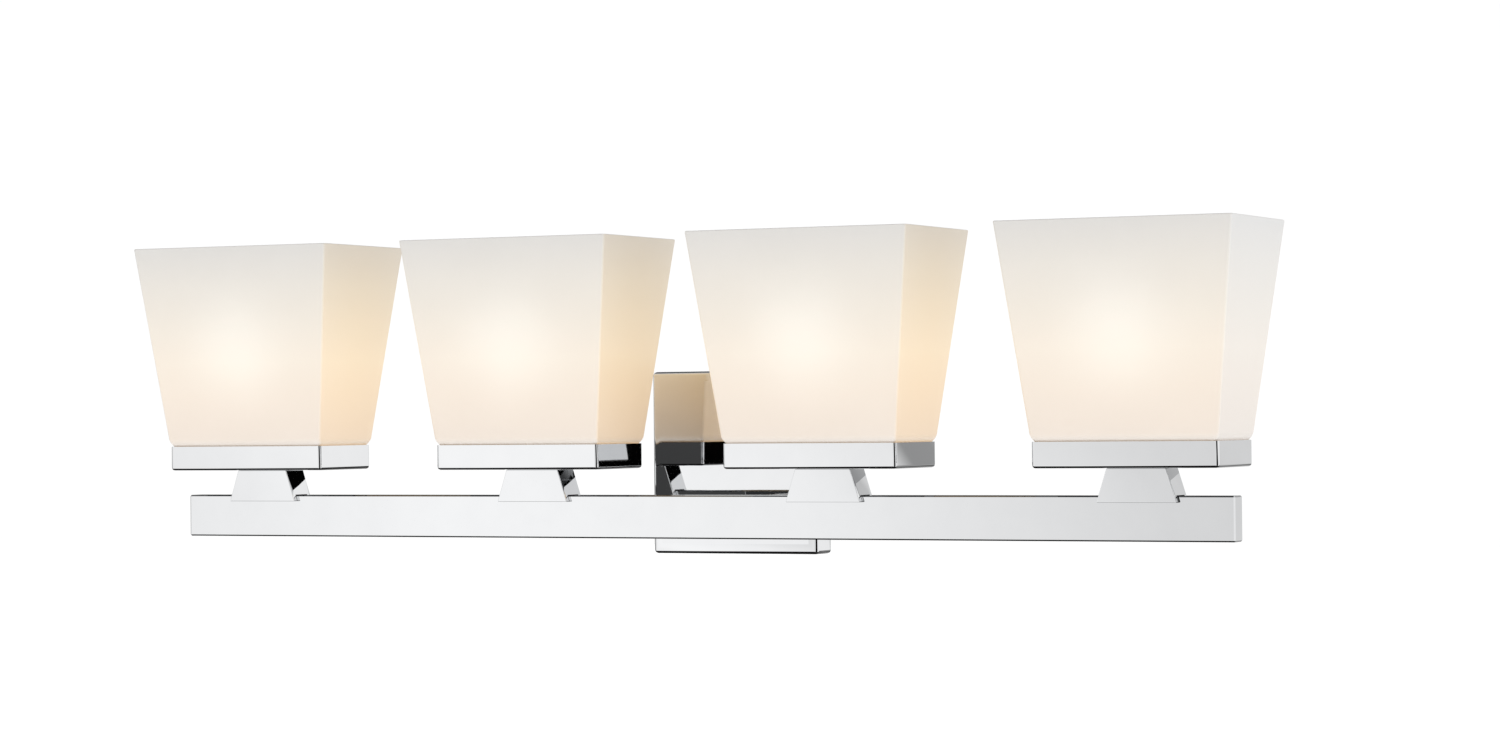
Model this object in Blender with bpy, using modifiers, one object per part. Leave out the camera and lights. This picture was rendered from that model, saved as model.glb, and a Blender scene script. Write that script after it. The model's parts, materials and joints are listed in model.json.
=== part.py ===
"""Four-light bathroom vanity bar: opal glass shades in chrome trays on a rectangular bar.

Metres, +Z up. The front faces -Y and the bar runs along X. The origin is the centre of
the wall plate, on the wall.
"""
import math

import bmesh
import bpy
from mathutils import Matrix, Vector

COLLECTION = "vanity_light_bar"
GAP = 0.0003                    # left between pieces that touch
MERGE = 0.00001                 # merge distance of the turned shapes

# Wall plate: an open-backed pan with a slightly raised panel, held by screws in its sides
PLATE_SIDE = 0.1215
PLATE_DEPTH = 0.0208
PLATE_WALL = 0.0015
PLATE_ROUND = 0.0025
PANEL_INSET = 0.009
PANEL_SLOPE = 0.0008
PANEL_RISE = 0.00025

# Crossbar: a strap across the junction box, with an ear bent forward at each end
CROSSBAR_LENGTH = 0.117
CROSSBAR_WIDTH = 0.016
CROSSBAR_EAR = 0.016
CROSSBAR_THICKNESS = 0.002
BOX_SCREW_SPACING = 0.0889
BOX_SLOT_LENGTH = 0.010
BOX_SLOT_WIDTH = 0.0046
GROUND_SCREW_X = 0.018
SCREW_RADIUS = 0.002
SCREW_HOLE_RADIUS = SCREW_RADIUS + GAP
SCREW_HEAD_RADIUS = 0.0037
SCREW_HEAD_HEIGHT = 0.0022
SCREW_SLOT_WIDTH = 0.0009
SCREW_SLOT_DEPTH = 0.0011
SIDE_SCREW_LENGTH = 0.0080
SIDE_SCREW_Y = -0.010

# Neck between the plate and the bar, on a threaded tube with a nut at each end
NECK_LENGTH = 0.0692
NECK_SIDE = 0.022
NECK_WALL = 0.002
NECK_ROUND = 0.0015
NECK_TUBE_RADIUS = 0.0066
NECK_TUBE_BORE = 0.0050
NECK_NUT_FLATS = 0.017
NECK_NUT_THICKNESS = 0.0030
THREAD_END = 0.0008             # thread standing out past a nut

# Bar: a rectangular tube with closed ends
BAR_LENGTH = 0.753
BAR_HEIGHT = 0.028
BAR_DEPTH = 0.014
BAR_WALL = 0.0015
BAR_CHAMFER = 0.0009
BAR_TOP = -0.020
BAR_Y = -(PLATE_DEPTH + NECK_LENGTH + BAR_DEPTH / 2)
BAR_Z = BAR_TOP - BAR_HEIGHT / 2

# Lights
LIGHT_COUNT = 4
LIGHT_PITCH = 0.210

# Saddle arm: a trapezoid block that straddles the bar
ARM_FOOT_WIDTH = 0.052
ARM_HEAD_WIDTH = 0.0384
ARM_DEPTH = 0.022
ARM_LAP = 0.0042                # how far it reaches down the bar's faces
ARM_ROUND = 0.0006

# Tray that holds the glass
TRAY_WIDTH = 0.120
TRAY_DEPTH = 0.0632
TRAY_HEIGHT = 0.0162
TRAY_WALL = 0.001
TRAY_ROUND = 0.002
TRAY_RISE = 0.0172              # from the bar's top to the tray's underside
TRAY_BOTTOM = BAR_TOP + TRAY_RISE
TRAY_TOP = TRAY_BOTTOM + TRAY_HEIGHT
TRAY_FLOOR = TRAY_BOTTOM + TRAY_WALL

# Threaded tube and nuts that hold arm, tray and lampholder on the bar
STEM_RADIUS = 0.004
STEM_BORE = 0.003
STEM_HOLE_RADIUS = STEM_RADIUS + GAP
STEM_TOP = 0.010
NUT_THICKNESS = 0.003
BAR_NUT_FLATS = 0.0104
LOCK_NUT_FLATS = 0.012
BAR_NUT_TOP = BAR_TOP - BAR_WALL - GAP
STEM_BOTTOM = BAR_NUT_TOP - NUT_THICKNESS - THREAD_END

# Glass shade: a flared rectangular cup with a round hole in its floor
SHADE_TOP = 0.1480
SHADE_TOP_WIDTH = 0.1530
SHADE_TOP_DEPTH = 0.1008
SHADE_LOW_WIDTH = 0.1203        # its slanted faces, carried down to the tray's rim
SHADE_LOW_DEPTH = 0.0650
SHADE_WALL = 0.003
SHADE_CLEARANCE = 0.0004        # to the inside of the tray
SHADE_DRAFT = 0.001             # how much its foot narrows inside the tray
SHADE_SHOULDER = 0.0048         # height over which the slanted faces curve in to the foot
SHADE_SHOULDER_STEPS = 4
SHADE_CORNER = 0.0016
SHADE_RIM_ROUND = 0.0008
SHADE_BOTTOM = TRAY_FLOOR + GAP
SHADE_HOLE_RADIUS = 0.0205

# Ring that screws down on the lampholder and holds the glass
RING_BORE = 0.0199
RING_COLLAR_RADIUS = 0.0222
RING_FLANGE_RADIUS = 0.0230
RING_FLANGE_THICKNESS = 0.0025
RING_HEIGHT = 0.008
RING_BOTTOM = SHADE_BOTTOM + SHADE_WALL + GAP

# Lampholder and its screw shell, for a medium-base lamp
HOLDER_TOP = 0.048
HOLDER_RADIUS = 0.0185
HOLDER_THREAD_RADIUS = 0.0195
HOLDER_THREAD_TOP = 0.020
HOLDER_BORE = 0.0145
HOLDER_BORE_FLOOR = 0.013
HOLDER_BOTTOM = TRAY_FLOOR + GAP
NUT_RECESS_RADIUS = 0.009
NUT_RECESS_TOP = HOLDER_BOTTOM + NUT_THICKNESS + GAP
SHELL_RADIUS = HOLDER_BORE - GAP
SHELL_WALL = 0.0005
SHELL_TOP = 0.042
SHELL_BOTTOM = HOLDER_BORE_FLOOR + GAP
SHELL_FLOOR_HOLE = 0.006

# Lamp: a pear-shaped glass bulb on a medium screw cap
CAP_RADIUS = 0.0132
CAP_BOTTOM = SHELL_BOTTOM + SHELL_WALL + GAP
CAP_CONTACT_RADIUS = 0.0045
CAP_CONTACT_HEIGHT = 0.0020
CAP_SHOULDER_RADIUS = 0.0120
CAP_SHOULDER_HEIGHT = 0.0045
CAP_TOP = CAP_BOTTOM + 0.0275
CAP_WALL = 0.0008
BULB_LENGTH = 0.110
BULB_RADIUS = 0.030
BULB_GLASS = 0.0008
BULB_NECK_RADIUS = CAP_RADIUS - CAP_WALL - GAP
BULB_NECK_DEPTH = 0.011         # length of neck held inside the cap
BULB_NECK_TOP = CAP_TOP + 0.003
BULB_CENTRE = CAP_BOTTOM + BULB_LENGTH - BULB_RADIUS
BULB_JOIN_ANGLE = math.radians(-35)     # where the sphere runs into the neck

# Leads: one from each lampholder, through the bar and the neck to the wall plate
LEAD_RADIUS = 0.0014
LEAD_TOP = STEM_TOP + 0.0015
LEAD_LANE = 0.0017              # half the spacing of the leads inside the neck
LEAD_TURN = 0.005
LEAD_END_X = 0.030
LEAD_END_Y = -0.007


def clear_scene():
    """Remove every object that the scene holds."""
    for obj in list(bpy.data.objects):
        bpy.data.objects.remove(obj)


def make_collection(name):
    """A new collection under the scene."""
    collection = bpy.data.collections.new(name)
    bpy.context.scene.collection.children.link(collection)
    return collection


def make_material(name, color, roughness, metallic=0.0, transmission=0.0, glow=0.0):
    """A Principled material; glow is the strength of its own light, in its own colour."""
    material = bpy.data.materials.new(name)
    material.use_nodes = True
    shader = material.node_tree.nodes["Principled BSDF"]
    shader.inputs["Base Color"].default_value = (*color, 1.0)
    shader.inputs["Roughness"].default_value = roughness
    shader.inputs["Metallic"].default_value = metallic
    shader.inputs["Transmission Weight"].default_value = transmission
    shader.inputs["Emission Color"].default_value = (*color, 1.0)
    shader.inputs["Emission Strength"].default_value = glow
    return material


def make_materials():
    """Every finish on the object, by slot name."""
    return {
        "chrome": make_material("chrome", (0.86, 0.87, 0.88), 0.04, metallic=1.0),
        "opal_glass": make_material("opal_glass", (0.95, 0.93, 0.89), 0.25, glow=0.6),
        "porcelain": make_material("porcelain", (0.90, 0.89, 0.86), 0.20),
        "brass": make_material("brass", (0.78, 0.60, 0.28), 0.28, metallic=1.0),
        "zinc_steel": make_material("zinc_steel", (0.62, 0.63, 0.62), 0.38, metallic=1.0),
        "ring_plastic": make_material("ring_plastic", (0.88, 0.87, 0.84), 0.45),
        "bulb_glass": make_material("bulb_glass", (1.00, 0.94, 0.84), 0.30, glow=4.0),
        "bulb_cap": make_material("bulb_cap", (0.72, 0.73, 0.74), 0.35, metallic=1.0),
        "ground_green": make_material("ground_green", (0.05, 0.32, 0.12), 0.35, metallic=0.6),
        "lead_white": make_material("lead_white", (0.86, 0.86, 0.83), 0.50),
    }


def link(name, mesh, collection, material=None, location=(0, 0, 0), parent=None):
    """Put a mesh or curve in a collection as an object, under an optional parent."""
    obj = bpy.data.objects.new(name, mesh)
    obj.location = location
    obj.parent = parent
    if material:
        mesh.materials.append(material)
    collection.objects.link(obj)
    return obj


def mesh_from(bm, name):
    """Turn a bmesh into mesh data."""
    mesh = bpy.data.meshes.new(name)
    bm.to_mesh(mesh)
    bm.free()
    return mesh


def shade_round(obj, angle=35):
    """Smooth shading that keeps edges sharper than the angle."""
    obj.data.shade_smooth()
    obj.data.set_sharp_from_angle(angle=math.radians(angle))


def box_mesh(name, size):
    """A box of the given size around its own origin."""
    bm = bmesh.new()
    bmesh.ops.create_cube(bm, size=1.0)
    bmesh.ops.scale(bm, vec=Vector(size), verts=bm.verts)
    return mesh_from(bm, name)


def prism_mesh(name, radius, depth, sides):
    """An upright prism or cylinder around its own origin; a hexagon has flats at +Y and -Y."""
    bm = bmesh.new()
    bmesh.ops.create_cone(bm, cap_ends=True, segments=sides, radius1=radius, radius2=radius,
                          depth=depth)
    bmesh.ops.rotate(bm, matrix=Matrix.Rotation(math.pi / 2, 3, "Z"), verts=bm.verts)
    return mesh_from(bm, name)


def pan_mesh(name, width, depth, height):
    """An open-topped box surface standing on its own origin."""
    bm = bmesh.new()
    bmesh.ops.create_cube(bm, size=1.0)
    bmesh.ops.scale(bm, vec=Vector((width, depth, height)), verts=bm.verts)
    bmesh.ops.translate(bm, vec=Vector((0, 0, height / 2)), verts=bm.verts)
    top = [face for face in bm.faces if face.normal.z > 0.5]
    bmesh.ops.delete(bm, geom=top, context="FACES_ONLY")
    return mesh_from(bm, name)


def add_bevel(obj, width, segments=2, angle=40):
    """Round the edges that turn by more than the angle."""
    bevel = obj.modifiers.new("round", "BEVEL")
    bevel.width = width
    bevel.segments = segments
    bevel.limit_method = "ANGLE"
    bevel.angle_limit = math.radians(angle)


def add_wall(obj, thickness):
    """Thicken a surface inwards."""
    wall = obj.modifiers.new("wall", "SOLIDIFY")
    wall.thickness = thickness
    wall.offset = -1
    wall.use_even_offset = True


def cut(obj, cutter):
    """Take the cutter's volume out of the object."""
    boolean = obj.modifiers.new("cut_" + cutter.name, "BOOLEAN")
    boolean.operation = "DIFFERENCE"
    boolean.solver = "EXACT"
    boolean.object = cutter


def make_cutter(kit, name, mesh, location, rotation=(0, 0, 0), parent=None):
    """A hidden wire object that only cuts others."""
    cutter = link(name, mesh, kit["cutters"], None, location, parent)
    cutter.rotation_euler = rotation
    cutter.hide_render = True
    cutter.display_type = "WIRE"
    return cutter


def drill(kit, obj, radius, depth, location, rotation=(0, 0, 0), parent=None, sides=24):
    """Drill a round hole, upright unless it is rotated."""
    name = "hole_" + obj.name + "_" + str(len(obj.modifiers))
    mesh = prism_mesh(name, radius, depth, sides)
    cut(obj, make_cutter(kit, name, mesh, location, rotation, parent))


def turned(kit, name, profile, slot, location=(0, 0, 0), parent=None, steps=24, closed=True):
    """Turn a profile of (radius, height) points about the upright axis.

    The points run down the outer side first. A closed profile makes a ring, and an open one
    starts and ends on the axis.
    """
    bm = bmesh.new()
    verts = [bm.verts.new((radius, 0, height)) for radius, height in profile]
    for start, end in zip(verts, verts[1:]):
        bm.edges.new((start, end))
    if closed:
        bm.edges.new((verts[-1], verts[0]))
    obj = link(name, mesh_from(bm, name), kit["parts"], kit["materials"][slot], location, parent)
    screw = obj.modifiers.new("turn", "SCREW")
    screw.axis = "Z"
    screw.angle = math.tau
    screw.steps = steps
    screw.render_steps = steps
    screw.use_merge_vertices = True
    screw.merge_threshold = MERGE
    screw.use_smooth_shade = True
    return obj


def threaded_tube(kit, name, radius, bore, bottom, top, location=(0, 0, 0), parent=None):
    """A plain tube that stands for one threaded along its length."""
    profile = [(radius, top), (radius, bottom), (bore, bottom), (bore, top)]
    return turned(kit, name, profile, "zinc_steel", location, parent, steps=16)


def hex_nut(kit, name, flats, hole_radius, location, rotation=(0, 0, 0), parent=None,
            thickness=NUT_THICKNESS):
    """A hexagon nut centred on its location."""
    mesh = prism_mesh(name, flats / 2 / math.cos(math.pi / 6), thickness, 6)
    nut = link(name, mesh, kit["parts"], kit["materials"]["zinc_steel"], location, parent)
    nut.rotation_euler = rotation
    drill(kit, nut, hole_radius, 2 * thickness, location, rotation, parent, sides=16)
    return nut


def round_head_screw(kit, name, length, slot, location, rotation):
    """A slotted round-head screw; its shank points down from the origin under its head."""
    rise = SCREW_HEAD_HEIGHT
    profile = [(0, rise), (0.6 * SCREW_HEAD_RADIUS, 0.82 * rise), (SCREW_HEAD_RADIUS, 0.3 * rise),
               (SCREW_HEAD_RADIUS, 0), (SCREW_RADIUS, 0), (SCREW_RADIUS, -length), (0, -length)]
    screw = turned(kit, name, profile, slot, location, steps=16, closed=False)
    screw.rotation_euler = rotation
    size = (3 * SCREW_HEAD_RADIUS, SCREW_SLOT_WIDTH, 2 * SCREW_SLOT_DEPTH)
    cutter = make_cutter(kit, name + "_slot", box_mesh(name + "_slot", size), (0, 0, rise),
                         parent=screw)
    cut(screw, cutter)
    return screw


def raise_panel(mesh):
    """Raise the middle of a pan's bottom face outwards, with a slope all round."""
    bm = bmesh.new()
    bm.from_mesh(mesh)
    bottom = [face for face in bm.faces if face.normal.z < -0.5]
    bmesh.ops.inset_individual(bm, faces=bottom, thickness=PANEL_INSET)
    bmesh.ops.inset_individual(bm, faces=bottom, thickness=PANEL_SLOPE, depth=PANEL_RISE)
    bm.to_mesh(mesh)
    bm.free()


def make_plate(kit):
    """The wall plate: a square pan, open at the wall."""
    mesh = pan_mesh("backplate", PLATE_SIDE, PLATE_SIDE, PLATE_DEPTH - PANEL_RISE)
    raise_panel(mesh)
    plate = link("backplate", mesh, kit["parts"], kit["materials"]["chrome"],
                 (0, PANEL_RISE - PLATE_DEPTH, 0))
    plate.rotation_euler = (-math.pi / 2, 0, 0)
    add_bevel(plate, PLATE_ROUND, segments=3)
    add_wall(plate, PLATE_WALL)
    shade_round(plate)
    drill(kit, plate, NECK_TUBE_RADIUS + GAP, 4 * PLATE_WALL, (0, -PLATE_DEPTH, BAR_Z),
          (math.pi / 2, 0, 0))
    for side in (-1, 1):
        drill(kit, plate, SCREW_HOLE_RADIUS, 4 * PLATE_WALL,
              (side * PLATE_SIDE / 2, SIDE_SCREW_Y, 0), (0, math.pi / 2, 0), sides=16)


def make_crossbar(kit):
    """The wall strap, with slots for the junction box and a hole for the ground screw."""
    size = (CROSSBAR_LENGTH, CROSSBAR_EAR, CROSSBAR_WIDTH)
    centre = (0, -CROSSBAR_EAR / 2, 0)
    strap = link("wall_crossbar", box_mesh("wall_crossbar", size), kit["parts"],
                 kit["materials"]["zinc_steel"], centre)
    inside = (CROSSBAR_LENGTH - 2 * CROSSBAR_THICKNESS, CROSSBAR_EAR, 2 * CROSSBAR_WIDTH)
    front = (0, -CROSSBAR_EAR / 2 - CROSSBAR_THICKNESS, 0)
    cut(strap, make_cutter(kit, "crossbar_inside", box_mesh("crossbar_inside", inside), front))
    for side in (-1, 1):
        name = "box_screw_slot_" + ("left", "right")[side > 0]
        slot_size = (BOX_SLOT_LENGTH, 4 * CROSSBAR_THICKNESS, BOX_SLOT_WIDTH)
        cut(strap, make_cutter(kit, name, box_mesh(name, slot_size),
                               (side * BOX_SCREW_SPACING / 2, 0, 0)))
        drill(kit, strap, SCREW_HOLE_RADIUS, 4 * CROSSBAR_THICKNESS,
              (side * CROSSBAR_LENGTH / 2, SIDE_SCREW_Y, 0), (0, math.pi / 2, 0), sides=16)
    drill(kit, strap, SCREW_HOLE_RADIUS, 4 * CROSSBAR_THICKNESS, (GROUND_SCREW_X, 0, 0),
          (math.pi / 2, 0, 0), sides=16)


def make_wall_screws(kit):
    """The two screws in the plate's sides and the ground screw in the crossbar."""
    head = PLATE_SIDE / 2 + GAP
    round_head_screw(kit, "side_screw_left", SIDE_SCREW_LENGTH, "chrome",
                     (-head, SIDE_SCREW_Y, 0), (0, -math.pi / 2, 0))
    round_head_screw(kit, "side_screw_right", SIDE_SCREW_LENGTH, "chrome",
                     (head, SIDE_SCREW_Y, 0), (0, math.pi / 2, 0))
    round_head_screw(kit, "ground_screw", CROSSBAR_THICKNESS, "ground_green",
                     (GROUND_SCREW_X, -CROSSBAR_THICKNESS - GAP, 0), (math.pi / 2, 0, 0))


def make_neck(kit):
    """The square neck, the threaded tube through it and the nut at each of its ends."""
    centre = (0, -PLATE_DEPTH - NECK_LENGTH / 2, BAR_Z)
    neck = link("neck", box_mesh("neck", (NECK_SIDE, NECK_LENGTH - 2 * GAP, NECK_SIDE)),
                kit["parts"], kit["materials"]["chrome"], centre)
    add_bevel(neck, NECK_ROUND)
    shade_round(neck)
    inside = NECK_SIDE - 2 * NECK_WALL
    cut(neck, make_cutter(kit, "neck_inside", box_mesh("neck_inside",
                                                       (inside, 2 * NECK_LENGTH, inside)), centre))

    along_y = (-math.pi / 2, 0, 0)
    bar_nut_y = BAR_Y + BAR_DEPTH / 2 - BAR_WALL - GAP - NECK_NUT_THICKNESS / 2
    plate_nut_y = -PLATE_DEPTH + PLATE_WALL + GAP + NECK_NUT_THICKNESS / 2
    reach = NECK_NUT_THICKNESS / 2 + THREAD_END
    tube = threaded_tube(kit, "neck_tube", NECK_TUBE_RADIUS, NECK_TUBE_BORE,
                         bar_nut_y - reach, plate_nut_y + reach, (0, 0, BAR_Z))
    tube.rotation_euler = along_y
    for name, nut_y in (("neck_nut_bar", bar_nut_y), ("neck_nut_plate", plate_nut_y)):
        hex_nut(kit, name, NECK_NUT_FLATS, NECK_TUBE_RADIUS + GAP, (0, nut_y, BAR_Z), along_y,
                thickness=NECK_NUT_THICKNESS)


def make_bar(kit, light_places):
    """The rectangular tube, chamfered, closed at its ends, and drilled for neck and lights."""
    centre = (0, BAR_Y, BAR_Z)
    bar = link("bar", box_mesh("bar", (BAR_LENGTH, BAR_DEPTH, BAR_HEIGHT)), kit["parts"],
               kit["materials"]["chrome"], centre)
    add_bevel(bar, BAR_CHAMFER, segments=1)
    shade_round(bar)
    inside = (BAR_LENGTH - 2 * BAR_WALL, BAR_DEPTH - 2 * BAR_WALL, BAR_HEIGHT - 2 * BAR_WALL)
    cut(bar, make_cutter(kit, "bar_inside", box_mesh("bar_inside", inside), centre))
    drill(kit, bar, NECK_TUBE_RADIUS + GAP, 4 * BAR_WALL, (0, BAR_Y + BAR_DEPTH / 2, BAR_Z),
          (math.pi / 2, 0, 0))
    for x in light_places:
        drill(kit, bar, STEM_HOLE_RADIUS, 4 * BAR_WALL, (x, BAR_Y, BAR_TOP), sides=16)


def make_arm(kit, light, number):
    """The trapezoid arm, slotted under to sit over the bar."""
    foot = BAR_TOP - ARM_LAP
    head = TRAY_BOTTOM - GAP
    name = "arm_" + number
    bm = bmesh.new()
    bmesh.ops.create_cube(bm, size=1.0)
    bmesh.ops.scale(bm, vec=Vector((ARM_FOOT_WIDTH, ARM_DEPTH, head - foot)), verts=bm.verts)
    upper = [vert for vert in bm.verts if vert.co.z > 0]
    bmesh.ops.scale(bm, vec=Vector((ARM_HEAD_WIDTH / ARM_FOOT_WIDTH, 1, 1)), verts=upper)
    arm = link(name, mesh_from(bm, name), kit["parts"], kit["materials"]["chrome"],
               (0, 0, (foot + head) / 2), light)
    add_bevel(arm, ARM_ROUND)
    shade_round(arm)
    slot = (2 * ARM_FOOT_WIDTH, BAR_DEPTH + 2 * GAP, 2 * (ARM_LAP + GAP))
    cut(arm, make_cutter(kit, name + "_saddle", box_mesh(name + "_saddle", slot), (0, 0, foot),
                         parent=light))
    drill(kit, arm, STEM_HOLE_RADIUS, 0.1, (0, 0, 0), parent=light, sides=16)


def make_tray(kit, light, number):
    """The shallow tray that the glass stands in."""
    name = "tray_" + number
    tray = link(name, pan_mesh(name, TRAY_WIDTH, TRAY_DEPTH, TRAY_HEIGHT), kit["parts"],
                kit["materials"]["chrome"], (0, 0, TRAY_BOTTOM), light)
    add_bevel(tray, TRAY_ROUND, segments=3)
    add_wall(tray, TRAY_WALL)
    shade_round(tray)
    drill(kit, tray, STEM_HOLE_RADIUS, 4 * TRAY_WALL, (0, 0, TRAY_BOTTOM), parent=light, sides=16)


def make_stem(kit, light, number):
    """The threaded tube up through bar, arm and tray, and its two nuts."""
    threaded_tube(kit, "stem_" + number, STEM_RADIUS, STEM_BORE, STEM_BOTTOM, STEM_TOP,
                  parent=light)
    hex_nut(kit, "bar_nut_" + number, BAR_NUT_FLATS, STEM_HOLE_RADIUS,
            (0, 0, BAR_NUT_TOP - NUT_THICKNESS / 2), parent=light)
    hex_nut(kit, "lock_nut_" + number, LOCK_NUT_FLATS, STEM_HOLE_RADIUS,
            (0, 0, TRAY_FLOOR + GAP + NUT_THICKNESS / 2), parent=light)


def make_lampholder(kit, light, number):
    """The porcelain lampholder and the brass screw shell in it."""
    body = [(HOLDER_RADIUS - 0.001, HOLDER_TOP), (HOLDER_RADIUS, HOLDER_TOP - 0.001),
            (HOLDER_RADIUS, HOLDER_THREAD_TOP), (HOLDER_THREAD_RADIUS, HOLDER_THREAD_TOP - 0.001),
            (HOLDER_THREAD_RADIUS, HOLDER_BOTTOM), (NUT_RECESS_RADIUS, HOLDER_BOTTOM),
            (NUT_RECESS_RADIUS, NUT_RECESS_TOP), (STEM_HOLE_RADIUS, NUT_RECESS_TOP),
            (STEM_HOLE_RADIUS, HOLDER_BORE_FLOOR), (HOLDER_BORE, HOLDER_BORE_FLOOR),
            (HOLDER_BORE, HOLDER_TOP - 0.001), (HOLDER_BORE + 0.001, HOLDER_TOP)]
    turned(kit, "lampholder_" + number, body, "porcelain", parent=light)
    floor_top = SHELL_BOTTOM + SHELL_WALL
    shell = [(SHELL_RADIUS, SHELL_TOP), (SHELL_RADIUS, SHELL_BOTTOM),
             (SHELL_FLOOR_HOLE, SHELL_BOTTOM), (SHELL_FLOOR_HOLE, floor_top),
             (SHELL_RADIUS - SHELL_WALL, floor_top), (SHELL_RADIUS - SHELL_WALL, SHELL_TOP)]
    turned(kit, "screw_shell_" + number, shell, "brass", parent=light, steps=20)


def shade_levels(inset=0.0):
    """Height, half width and half depth at each level of the glass, or of the space in it."""
    foot_x = TRAY_WIDTH / 2 - TRAY_WALL - SHADE_CLEARANCE
    foot_y = TRAY_DEPTH / 2 - TRAY_WALL - SHADE_CLEARANCE
    levels = [(SHADE_BOTTOM + inset, foot_x - SHADE_DRAFT, foot_y - SHADE_DRAFT),
              (TRAY_TOP, foot_x, foot_y)]
    slant_x = (SHADE_TOP_WIDTH - SHADE_LOW_WIDTH) / 2 / (SHADE_TOP - TRAY_TOP)
    slant_y = (SHADE_TOP_DEPTH - SHADE_LOW_DEPTH) / 2 / (SHADE_TOP - TRAY_TOP)
    step_x = SHADE_LOW_WIDTH / 2 - foot_x
    step_y = SHADE_LOW_DEPTH / 2 - foot_y
    rises = [SHADE_SHOULDER * step / SHADE_SHOULDER_STEPS
             for step in range(1, SHADE_SHOULDER_STEPS + 1)]
    for rise in rises + [SHADE_TOP + inset - TRAY_TOP]:
        left = max(0.0, 1 - rise / SHADE_SHOULDER) ** 2
        levels.append((TRAY_TOP + rise,
                       SHADE_LOW_WIDTH / 2 + slant_x * rise - step_x * left,
                       SHADE_LOW_DEPTH / 2 + slant_y * rise - step_y * left))
    return [(height, half_x - inset, half_y - inset) for height, half_x, half_y in levels]


def flared_mesh(name, levels):
    """A solid block drawn up through its levels, with its bottom and upright edges rounded."""
    bm = bmesh.new()
    rows = [[bm.verts.new((side_x * half_x, side_y * half_y, height))
             for side_x, side_y in ((-1, -1), (1, -1), (1, 1), (-1, 1))]
            for height, half_x, half_y in levels]
    bm.faces.new(rows[0][::-1])
    bm.faces.new(rows[-1])
    for low, high in zip(rows, rows[1:]):
        for start in range(4):
            end = (start + 1) % 4
            bm.faces.new((low[start], low[end], high[end], high[start]))
    bottom = set(rows[0])
    rounded = [edge for edge in bm.edges if set(edge.verts) <= bottom
               or abs(edge.verts[0].co.z - edge.verts[1].co.z) > GAP]
    bmesh.ops.bevel(bm, geom=rounded, offset=SHADE_CORNER, segments=3, profile=0.5,
                    affect="EDGES", clamp_overlap=False)
    return mesh_from(bm, name)


def make_shade(kit, light, number):
    """The flared glass: a solid block, hollowed out, with its rim rounded."""
    name = "shade_" + number
    shade = link(name, flared_mesh(name, shade_levels()), kit["parts"],
                 kit["materials"]["opal_glass"], parent=light)
    space = flared_mesh(name + "_space", shade_levels(SHADE_WALL))
    cut(shade, make_cutter(kit, name + "_space", space, (0, 0, 0), parent=light))
    add_bevel(shade, SHADE_RIM_ROUND, angle=60)
    shade_round(shade)
    drill(kit, shade, SHADE_HOLE_RADIUS, 4 * SHADE_WALL, (0, 0, SHADE_BOTTOM), parent=light)


def make_ring(kit, light, number):
    """The ring that holds the glass down."""
    flange_top = RING_BOTTOM + RING_FLANGE_THICKNESS
    top = RING_BOTTOM + RING_HEIGHT
    profile = [(RING_COLLAR_RADIUS, top), (RING_COLLAR_RADIUS, flange_top),
               (RING_FLANGE_RADIUS, flange_top), (RING_FLANGE_RADIUS, RING_BOTTOM),
               (RING_BORE, RING_BOTTOM), (RING_BORE, top)]
    turned(kit, "shade_ring_" + number, profile, "ring_plastic", parent=light)


def bulb_outline(inset):
    """The bulb's outline from its top down to the end of its neck, set in by the wall."""
    radius = BULB_RADIUS - inset
    points = []
    arc_steps = 7
    for step in range(arc_steps + 1):
        angle = math.pi / 2 + (BULB_JOIN_ANGLE - math.pi / 2) * step / arc_steps
        points.append((radius * math.cos(angle), BULB_CENTRE + radius * math.sin(angle)))
    points[0] = (0, BULB_CENTRE + radius)
    wide, join = points[-1]
    narrow = BULB_NECK_RADIUS - inset
    height = join - BULB_NECK_TOP
    pull = -math.tan(BULB_JOIN_ANGLE) * height
    flare_steps = 4
    for step in range(flare_steps - 1, -1, -1):
        part = step / flare_steps
        ease = part * part * (3 - 2 * part)
        bend = part * part * (part - 1) * pull
        points.append((narrow + (wide - narrow) * ease + bend, BULB_NECK_TOP + height * part))
    points.append((narrow, CAP_TOP - BULB_NECK_DEPTH))
    return points


def make_lamp(kit, light, number):
    """The lamp: a thin glass bulb whose neck stands in a metal screw cap."""
    outline = bulb_outline(0) + bulb_outline(BULB_GLASS)[::-1]
    turned(kit, "bulb_" + number, outline, "bulb_glass", parent=light, steps=20, closed=False)
    shoulder = CAP_BOTTOM + CAP_SHOULDER_HEIGHT
    seat = CAP_TOP - BULB_NECK_DEPTH - GAP
    cap = [(0, seat), (CAP_RADIUS - CAP_WALL, seat), (CAP_RADIUS - CAP_WALL, CAP_TOP),
           (CAP_RADIUS, CAP_TOP), (CAP_RADIUS, shoulder + 0.001),
           (CAP_SHOULDER_RADIUS, shoulder),
           (CAP_CONTACT_RADIUS, CAP_BOTTOM + CAP_CONTACT_HEIGHT),
           (CAP_CONTACT_RADIUS, CAP_BOTTOM), (0, CAP_BOTTOM)]
    turned(kit, "bulb_cap_" + number, cap, "bulb_cap", parent=light, steps=20, closed=False)


def rounded_route(points, passes=2):
    """Cut the corners of a route, twice over, so that it bends smoothly."""
    for _ in range(passes):
        finer = [points[0]]
        for start, end in zip(points, points[1:]):
            finer.append(start.lerp(end, 0.25))
            finer.append(start.lerp(end, 0.75))
        finer.append(points[-1])
        points = finer
    return points


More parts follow.
